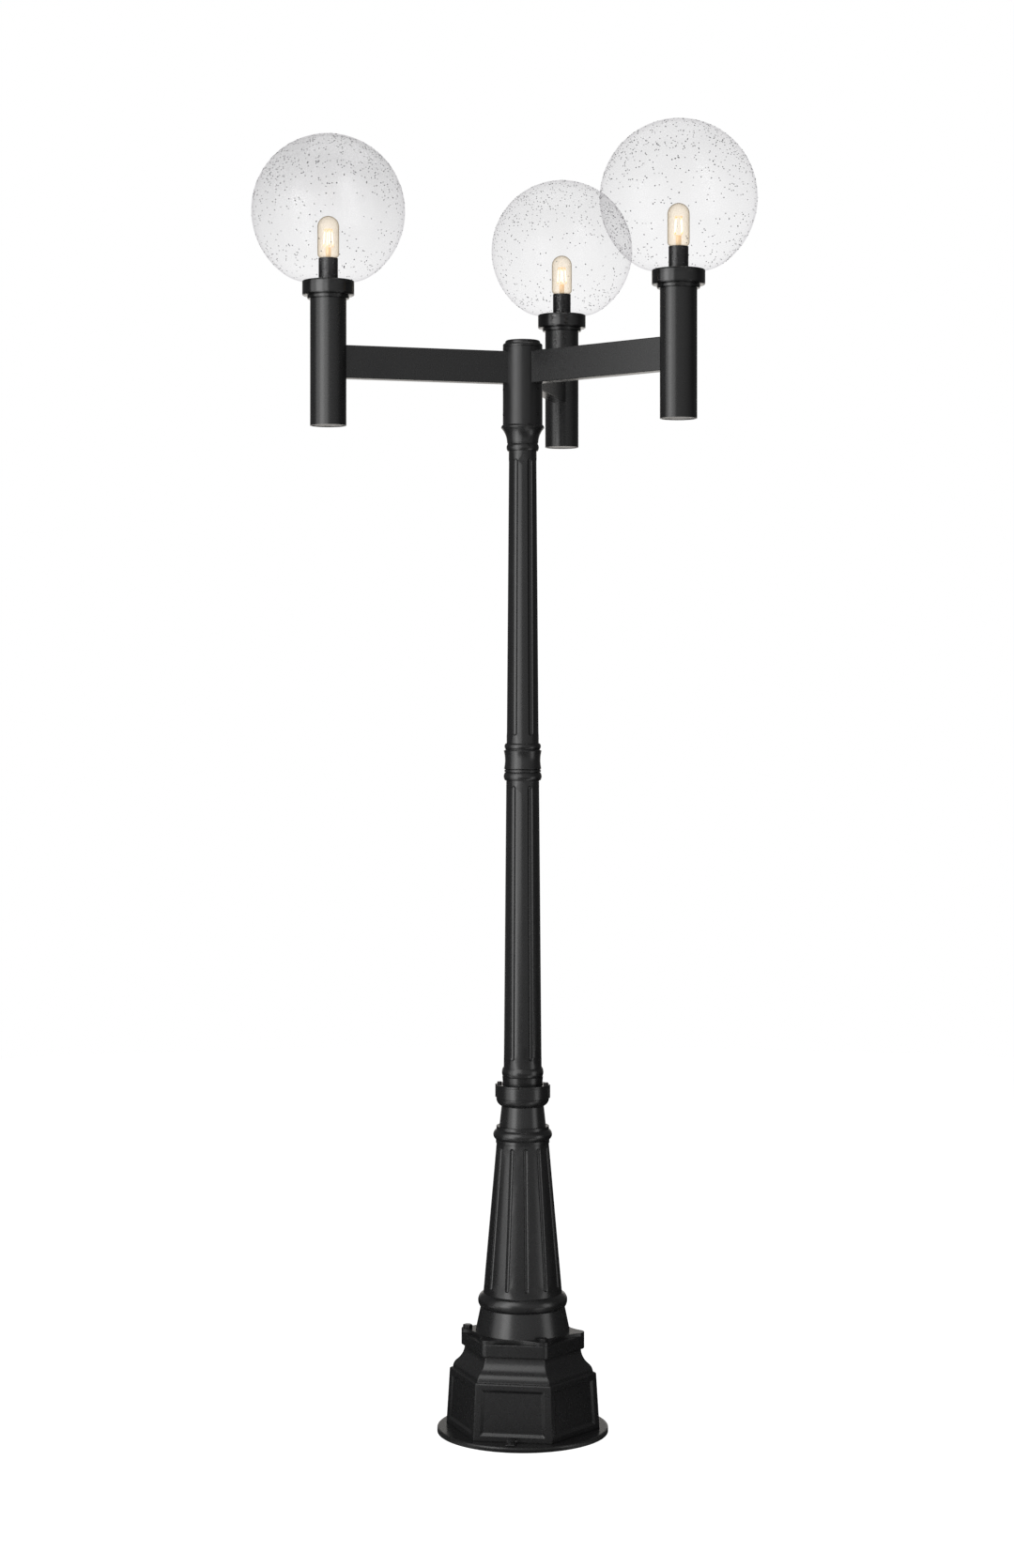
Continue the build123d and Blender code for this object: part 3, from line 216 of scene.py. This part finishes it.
def tint(made, socket, source, dark, light):
    """Lets a colour on the shader wander from dark to light with the noise."""
    nodes, links = made.node_tree.nodes, made.node_tree.links
    ramp = nodes.new("ShaderNodeValToRGB")
    for index, tone in enumerate((dark, light)):
        ramp.color_ramp.elements[index].position = NOISE_SPAN[index]
        ramp.color_ramp.elements[index].color = (*tone, 1.0)
    links.new(source, ramp.inputs["Fac"])
    links.new(ramp.outputs["Color"], shader_of(made).inputs[socket])


def bump(made, source, strength, height, edge):
    """Relief from the noise; with an edge, corners shade as if rounded to that radius."""
    nodes, links = made.node_tree.nodes, made.node_tree.links
    relief = nodes.new("ShaderNodeBump")
    relief.inputs["Strength"].default_value = strength
    relief.inputs["Distance"].default_value = height
    links.new(source, relief.inputs["Height"])
    if edge:
        rounded = nodes.new("ShaderNodeBevel")
        rounded.samples = EDGE_SAMPLES
        rounded.inputs["Radius"].default_value = edge
        links.new(rounded.outputs["Normal"], relief.inputs["Normal"])
    links.new(relief.outputs["Normal"], shader_of(made).inputs["Normal"])


def coated(name, tones, roughness, grain, settings=None, edge=0.0):
    """Coat with a fine grain and a slight change of tone and roughness over the piece."""
    made = shader_material(name, settings or {})
    tint(made, "Base Color", noise(made, TONE_CELLS, 4.0), *tones)
    vary(made, "Roughness", noise(made, ROUGH_CELLS, 3.0), *roughness)
    bump(made, noise(made, GRAIN_CELLS), grain, GRAIN_HEIGHT, edge)
    return made


def up_the_piece(made):
    """Height on the piece, from 0 at its foot to 1 at its top."""
    split = made.node_tree.nodes.new("ShaderNodeSeparateXYZ")
    made.node_tree.links.new(coordinates(made, "Generated"), split.inputs["Vector"])
    return split.outputs["Z"]


def thin_glass(name, haze, alpha, roughness, smoke, density, settings):
    """Glass with a faint haze of alpha from foot to top; smoke darkens long ways through the wall."""
    made = shader_material(name, settings)
    paler = [min(1.0, HAZE_CHANGE * part) for part in haze]
    tint(made, "Base Color", noise(made, HAZE_CELLS), haze, paler)
    vary(made, "Roughness", noise(made, GLASS_ROUGH_CELLS), *roughness)
    nodes, links = made.node_tree.nodes, made.node_tree.links
    faint = step_between(made, up_the_piece(made), (0.0, 1.0), *alpha)
    links.new(faint, shader_of(made).inputs["Alpha"])
    inside = nodes.new("ShaderNodeVolumeAbsorption")
    inside.inputs["Color"].default_value = (*smoke, 1.0)
    inside.inputs["Density"].default_value = density
    links.new(inside.outputs["Volume"], nodes["Material Output"].inputs["Volume"])
    return made


def globe_glass(name, top):
    """Clear glass of a globe; its haze is faintest at the foot and has the given alpha at the top."""
    return thin_glass(
        name,
        haze=(0.13, 0.119, 0.141),
        alpha=(0.005, top),
        roughness=(0.20, 0.28),
        smoke=(0.50, 0.48, 0.51),
        density=13.0,
        settings={"IOR": 2.8},
    )


def glowing(name, stops):
    """Glow that changes up the piece; each stop is a height from 0 to 1, a colour and a strength."""
    made = shader_material(name, {"Base Color": (0.75, 0.62, 0.45, 1.0), "Roughness": 0.45})
    nodes, links = made.node_tree.nodes, made.node_tree.links
    height = up_the_piece(made)
    colours = nodes.new("ShaderNodeValToRGB")
    strengths = nodes.new("ShaderNodeValToRGB")
    strongest = max(strength for _, _, strength in stops)
    greys = [[strength / strongest] * 3 for _, _, strength in stops]
    for ramp, tones in ((colours, [colour for _, colour, _ in stops]), (strengths, greys)):
        elements = ramp.color_ramp.elements
        while len(elements) < len(stops):
            elements.new(0.5)
        for index, tone in enumerate(tones):
            elements[index].position = stops[index][0]
            elements[index].color = (*tone, 1.0)
        links.new(height, ramp.inputs["Fac"])
    power = number(made, "MULTIPLY", strengths.outputs["Color"], strongest)
    links.new(colours.outputs["Color"], shader_of(made).inputs["Emission Color"])
    links.new(power, shader_of(made).inputs["Emission Strength"])
    return made


BLACK = ((0.0082, 0.0082, 0.0085), (0.0108, 0.0108, 0.0112))
SATIN = (0.26, 0.29)
FINE_GRAIN = 0.003
METAL = {"Metallic": 1.0}
finishes = {
    "black_aluminium": coated("black_powder_coat", BLACK, SATIN, FINE_GRAIN),
    "black_steel": coated("black_powder_coat_steel", BLACK, SATIN, FINE_GRAIN, edge=0.005),
    "black_fasteners": coated("black_fasteners", BLACK, (0.22, 0.32), 0.03, edge=0.0004),
    "black_plastic": coated("black_plastic", BLACK, (0.28, 0.36), 0.03),
    "zinc_steel": coated(
        "zinc_steel", ((0.45, 0.46, 0.47), (0.60, 0.61, 0.63)), (0.25, 0.45), 0.08, METAL
    ),
    "gasket_rubber": coated(
        "gasket_rubber", ((0.02, 0.02, 0.02), (0.035, 0.035, 0.034)), (0.7, 0.9), 0.15
    ),
    "lampholder_ceramic": coated(
        "lampholder_ceramic", ((0.72, 0.70, 0.65), (0.80, 0.78, 0.74)), (0.20, 0.35), 0.03
    ),
    "socket_brass": coated(
        "socket_brass", ((0.55, 0.40, 0.15), (0.68, 0.50, 0.22)), (0.22, 0.40), 0.05, METAL
    ),
    "lamp_base_nickel": coated(
        "lamp_base_nickel", ((0.60, 0.58, 0.54), (0.74, 0.72, 0.68)), (0.18, 0.34), 0.05, METAL
    ),
    "seeded_glass": globe_glass("seeded_glass", 0.12),
    "lamp_glass": thin_glass(
        "lamp_glass",
        haze=(0.55, 0.42, 0.25),
        alpha=(0.055, 0.045),
        roughness=(0.02, 0.06),
        smoke=(0.40, 0.37, 0.33),
        density=400.0,
        settings={"IOR": 2.0, "Emission Color": (1.0, 0.84, 0.60, 1.0), "Emission Strength": 3.0},
    ),
    "light_sticks": glowing(
        "light_sticks",
        [
            (0.0, (1.0, 0.60, 0.30), 0.05),
            (0.36, (1.0, 0.40, 0.06), 0.45),
            (0.45, (1.0, 0.36, 0.04), 0.9),
            (0.52, (1.0, 0.88, 0.60), 2.2),
            (0.88, (1.0, 0.88, 0.60), 2.2),
            (0.94, (1.0, 0.36, 0.04), 0.9),
        ],
    ),
}
seed_glass = coated("seed_bubbles", ((0.01, 0.01, 0.011), (0.04, 0.04, 0.042)), (0.55, 0.75), 0.02)

# Pieces that look different from their slot's finish; the photo shows the right and rear globes clearer
gloss_coat = coated(
    "black_gloss_coat",
    ((0.004, 0.004, 0.0042), (0.006, 0.006, 0.0063)),
    (0.15, 0.19),
    FINE_GRAIN,
    {"Specular IOR Level": 0.6},
    edge=0.007,
)
cast_coat = coated("black_cast_coat", BLACK, SATIN, FINE_GRAIN, edge=0.0012)
clear_glass = globe_glass("clear_seeded_glass", 0.060)
own_coats = {
    "base_plinth": coated("black_plinth_coat", BLACK, SATIN, 0.002, edge=0.0035),
    "head_sleeve": coated(
        "black_sleeve_coat", BLACK, (0.32, 0.35), FINE_GRAIN, {"Specular IOR Level": 0.45}
    ),
    "globe_right": clear_glass,
    "globe_rear": clear_glass,
}
for node in ("pedestal", "clamp_left", "clamp_right", "mid_collar", "capital", "sleeve_cap"):
    own_coats[node] = cast_coat
for side in SIDES:
    own_coats["globe_collar_" + side] = gloss_coat
    own_coats["fitter_" + side] = gloss_coat

for piece in frame["record"]["subparts"]:
    cad_node = frame["nodes"][piece["node"]]
    cad_node.data.materials.clear()
    cad_node.data.materials.append(own_coats.get(piece["node"], finishes[piece["material_slot"]]))


def globe_place(side):
    """Centre and radius of a globe's round part."""
    low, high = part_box("globe_" + side)
    radius = (high.x - low.x) / 2
    return Vector(((low.x + high.x) / 2, (low.y + high.y) / 2, high.z - radius)), radius


def lens():
    """Corners and faces of a rough ball of radius 1."""
    ball = bmesh.new()
    bmesh.ops.create_icosphere(ball, subdivisions=1, radius=1.0)
    ball.verts.index_update()
    corners = [corner.co.copy() for corner in ball.verts]
    faces = [[corner.index for corner in face.verts] for face in ball.faces]
    ball.free()
    return corners, faces


def change(value, amount, low, high):
    """The part of the amount that is reached on the value's way from low to high."""
    return amount * max(0.0, min(1.0, (value - low) / (high - low)))


def seed_chance(way):
    """Chance that a place on the globe takes a seed, where way is the unit vector to it from the centre."""
    chance = SEED_SHARE + change(way.z, *SEED_UP) + change(way.z, *SEED_CROWN) + change(-way.z, *SEED_DOWN)
    return chance * (1.0 + change(abs(way.dot(CAMERA_AHEAD)), *SEED_FACING))


def seeds(side):
    """Bubbles at the skin of a globe's wall, as flat dark lenses."""
    draw = random.Random(SEED_NUMBERS[side])
    centre, wall = globe_place(side)
    lens_corners, lens_faces = lens()
    corners, faces = [], []
    made = 0
    while made < SEED_COUNT:
        way = Vector((draw.gauss(0, 1), draw.gauss(0, 1), draw.gauss(0, 1))).normalized()
        if way.z < SEED_NECK or draw.random() > seed_chance(way):
            continue
        made += 1
        long = draw.triangular(SEED_SMALL, SEED_LARGE, SEED_USUAL) / 2
        wide = long * draw.uniform(SEED_SLIMMEST, 1.0)
        turn = way.to_track_quat("Z", "Y").to_matrix().to_4x4()
        spin = Matrix.Rotation(draw.uniform(0, math.pi), 4, "Z")
        size = Matrix.Diagonal((long, wide, SEED_DEPTH / 2, 1.0))
        place = Matrix.Translation(centre + way * (wall - SEED_DEPTH / 2)) @ turn @ spin @ size
        first = len(corners)
        corners.extend(place @ corner for corner in lens_corners)
        faces.extend([first + corner for corner in face] for face in lens_faces)
    data = bpy.data.meshes.new("seeds_" + side)
    data.from_pydata(corners, [], faces)
    data.shade_smooth()
    piece = bpy.data.objects.new("seeds_" + side, data)
    bpy.context.scene.collection.objects.link(piece)
    piece.data.materials.append(seed_glass)
    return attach(piece, "globe_unit_" + side)


for side in SIDES:
    seeds(side)


def background(world, colour, strength):
    """Light from all around; its strength is a socket or a constant."""
    nodes, links = world.node_tree.nodes, world.node_tree.links
    made = nodes.new("ShaderNodeBackground")
    made.inputs["Color"].default_value = (*colour, 1.0)
    if isinstance(strength, float):
        made.inputs["Strength"].default_value = strength
    else:
        links.new(strength, made.inputs["Strength"])
    return made.outputs["Background"]


def studio_world():
    """White to the camera and through glass, the dim room in reflections, and ambient light on the rest."""
    world = bpy.data.worlds.new("studio")
    world.use_nodes = True
    nodes, links = world.node_tree.nodes, world.node_tree.links
    nodes.clear()
    path = nodes.new("ShaderNodeLightPath")
    way = coordinates(world, "Generated")
    front = step_between(world, along(world, way, -CAMERA_AHEAD), (0.0, 1.0), ROOM_DIM, ROOM_FRONT)
    sweep = CAMERA_AHEAD * math.cos(BACKDROP_TILT) + Vector((0, 0, math.sin(BACKDROP_TILT)))
    edge = (BACKDROP_EDGE, BACKDROP_FULL)
    behind = step_between(world, along(world, way, sweep), edge, 0.0, BACKDROP, smooth=True)
    room = nodes.new("ShaderNodeAddShader")
    links.new(background(world, WHITE, front), room.inputs[0])
    links.new(background(world, BACKDROP_COLOUR, behind), room.inputs[1])
    shader = background(world, AMBIENT_COLOUR, AMBIENT)
    for ray, seen in (
        ("Is Glossy Ray", room.outputs["Shader"]),
        ("Is Transmission Ray", background(world, WHITE, 1.0)),
        ("Is Camera Ray", background(world, WHITE, 1.0)),
    ):
        mix = nodes.new("ShaderNodeMixShader")
        links.new(path.outputs[ray], mix.inputs["Fac"])
        links.new(shader, mix.inputs[1])
        links.new(seen, mix.inputs[2])
        shader = mix.outputs["Shader"]
    output = nodes.new("ShaderNodeOutputWorld")
    links.new(shader, output.inputs["Surface"])
    bpy.context.scene.world = world


def floor_painted_light(made):
    """Painted light on the floor in reflections, dark behind the post and paler in two sectors."""
    nodes, links = made.node_tree.nodes, made.node_tree.links
    place = coordinates(made, "Object")
    ahead = along(made, place, -CAMERA_AHEAD)
    # Painted light that rises from painted shade behind the post to the camera's side
    tone = step_between(made, ahead, FLOOR_TURN, FLOOR_BEHIND_PAINTED_SHADE, FLOOR_FRONT_PAINTED_LIGHT, smooth=True)
    way = nodes.new("ShaderNodeVectorMath")
    way.operation = "NORMALIZE"
    links.new(place, way.inputs[0])
    aside = number(made, "ABSOLUTE", along(made, way.outputs["Vector"], CAMERA_RIGHT))
    # Two sectors of painted light on the camera's side
    sector = step_between(made, aside, SECTOR_RISE, 0.0, 1.0, smooth=True)
    for factor in (
        step_between(made, aside, SECTOR_FALL, SECTOR_PAINTED_LIGHT, 0.0, smooth=True),
        step_between(made, ahead, SECTOR_START, 0.0, 1.0, smooth=True),
    ):
        sector = number(made, "MULTIPLY", sector, factor)
    return number(made, "ADD", tone, sector)


def studio_floor():
    """Floor that the camera sees as white with a faint shadow."""
    mesh = bmesh.new()
    bmesh.ops.create_circle(mesh, cap_ends=True, segments=FLOOR_CORNERS, radius=FLOOR_REACH)
    data = bpy.data.meshes.new("floor")
    mesh.to_mesh(data)
    mesh.free()
    floor = bpy.data.objects.new("floor", data)
    bpy.context.scene.collection.objects.link(floor)
    floor.location.z = -FLOOR_DROP
    made = shader_material("floor", {"Roughness": 0.9, "Specular IOR Level": 0.0})
    nodes, links = made.node_tree.nodes, made.node_tree.links
    path = nodes.new("ShaderNodeLightPath")
    # Reflections see the floor's painted light and shade; other rays see its plain tone
    pale = nodes.new("ShaderNodeMix")
    pale.data_type = "RGBA"
    pale.inputs["A"].default_value = (FLOOR_TONE, FLOOR_TONE, FLOOR_TONE, 1.0)
    links.new(floor_painted_light(made), pale.inputs["B"])
    links.new(path.outputs["Is Glossy Ray"], pale.inputs["Factor"])
    links.new(pale.outputs["Result"], shader_of(made).inputs["Base Color"])
    white = nodes.new("ShaderNodeEmission")
    white.inputs["Color"].default_value = (*WHITE, 1.0)
    white.inputs["Strength"].default_value = FLOOR_GLOW / (1 - FLOOR_SHARE)
    shown = nodes.new("ShaderNodeMixShader")
    shown.inputs["Fac"].default_value = FLOOR_SHARE
    links.new(white.outputs["Emission"], shown.inputs[1])
    links.new(shader_of(made).outputs["BSDF"], shown.inputs[2])
    mix = nodes.new("ShaderNodeMixShader")
    seen = number(made, "MAXIMUM", path.outputs["Is Camera Ray"], path.outputs["Is Transmission Ray"])
    links.new(seen, mix.inputs["Fac"])
    links.new(shader_of(made).outputs["BSDF"], mix.inputs[1])
    links.new(shown.outputs["Shader"], mix.inputs[2])
    links.new(mix.outputs["Shader"], nodes["Material Output"].inputs["Surface"])
    floor.data.materials.append(made)


def panel(name, place, rotation, width, height, radiance):
    """Soft panel that the camera doesn't see; it shines along its own -Z."""
    data = bpy.data.lights.new(name, "AREA")
    data.shape = "RECTANGLE"
    data.size = width
    data.size_y = height
    data.energy = radiance * math.pi * width * height
    light = bpy.data.objects.new(name, data)
    light.location = place
    light.rotation_mode = "QUATERNION"
    light.rotation_quaternion = rotation
    light.visible_camera = False
    bpy.context.scene.collection.objects.link(light)


def outward(azimuth):
    """Level way out from the post; the azimuth, in degrees, runs to the right from the camera's side."""
    turn = math.radians(azimuth)
    return CAMERA_RIGHT * math.sin(turn) - CAMERA_AHEAD * math.cos(turn)


def softbox(name, azimuth, low, high, width, radiance):
    """Upright panel that faces the post."""
    out = outward(azimuth)
    place = out * PANEL_DISTANCE + Vector((0, 0, (low + high) / 2))
    panel(name, place, (-out).to_track_quat("-Z", "Y"), width, high - low, radiance)


def card(name, azimuth, near, far, width, radiance):
    """Flat panel on the floor that shines up, from near to far along the azimuth."""
    out = outward(azimuth)
    place = out * (near + far) / 2 + Vector((0, 0, CARD_HEIGHT))
    face_up = out.to_track_quat("Y", "Z") @ Quaternion((0, 1, 0), math.pi)
    panel(name, place, face_up, width, far - near, radiance)


def overhead():
    """Panel that shines straight down."""
    down = Vector((0, 0, -1)).to_track_quat("-Z", "Y")
    panel("overhead", OVERHEAD_PLACE, down, OVERHEAD_SIZE, OVERHEAD_SIZE, OVERHEAD_RADIANCE)


def camera():
    """Level camera whose shift puts the horizon at its row."""
    aside = (POST_COLUMN - IMAGE_WIDTH / 2) / FOCAL_PIXELS * CAMERA_DISTANCE
    data = bpy.data.cameras.new("camera")
    data.sensor_width = SENSOR
    data.lens = SENSOR * FOCAL_PIXELS / IMAGE_HEIGHT
    data.shift_y = (HORIZON_ROW - IMAGE_HEIGHT / 2) / IMAGE_HEIGHT
    made = bpy.data.objects.new("camera", data)
    made.location = -CAMERA_AHEAD * CAMERA_DISTANCE - CAMERA_RIGHT * aside + Vector((0, 0, CAMERA_HEIGHT))
    made.rotation_mode = "QUATERNION"
    made.rotation_quaternion = CAMERA_AHEAD.to_track_quat("-Z", "Y")
    bpy.context.scene.collection.objects.link(made)
    bpy.context.scene.camera = made


studio_world()
studio_floor()
for name, setting in SOFTBOXES.items():
    softbox(name, *setting)
for name, setting in CARDS.items():
    card(name, *setting)
overhead()
camera()
bpy.context.scene.view_settings.view_transform = "Standard"
bpy.context.scene.cycles.transparent_max_bounces = CLEAR_SURFACES
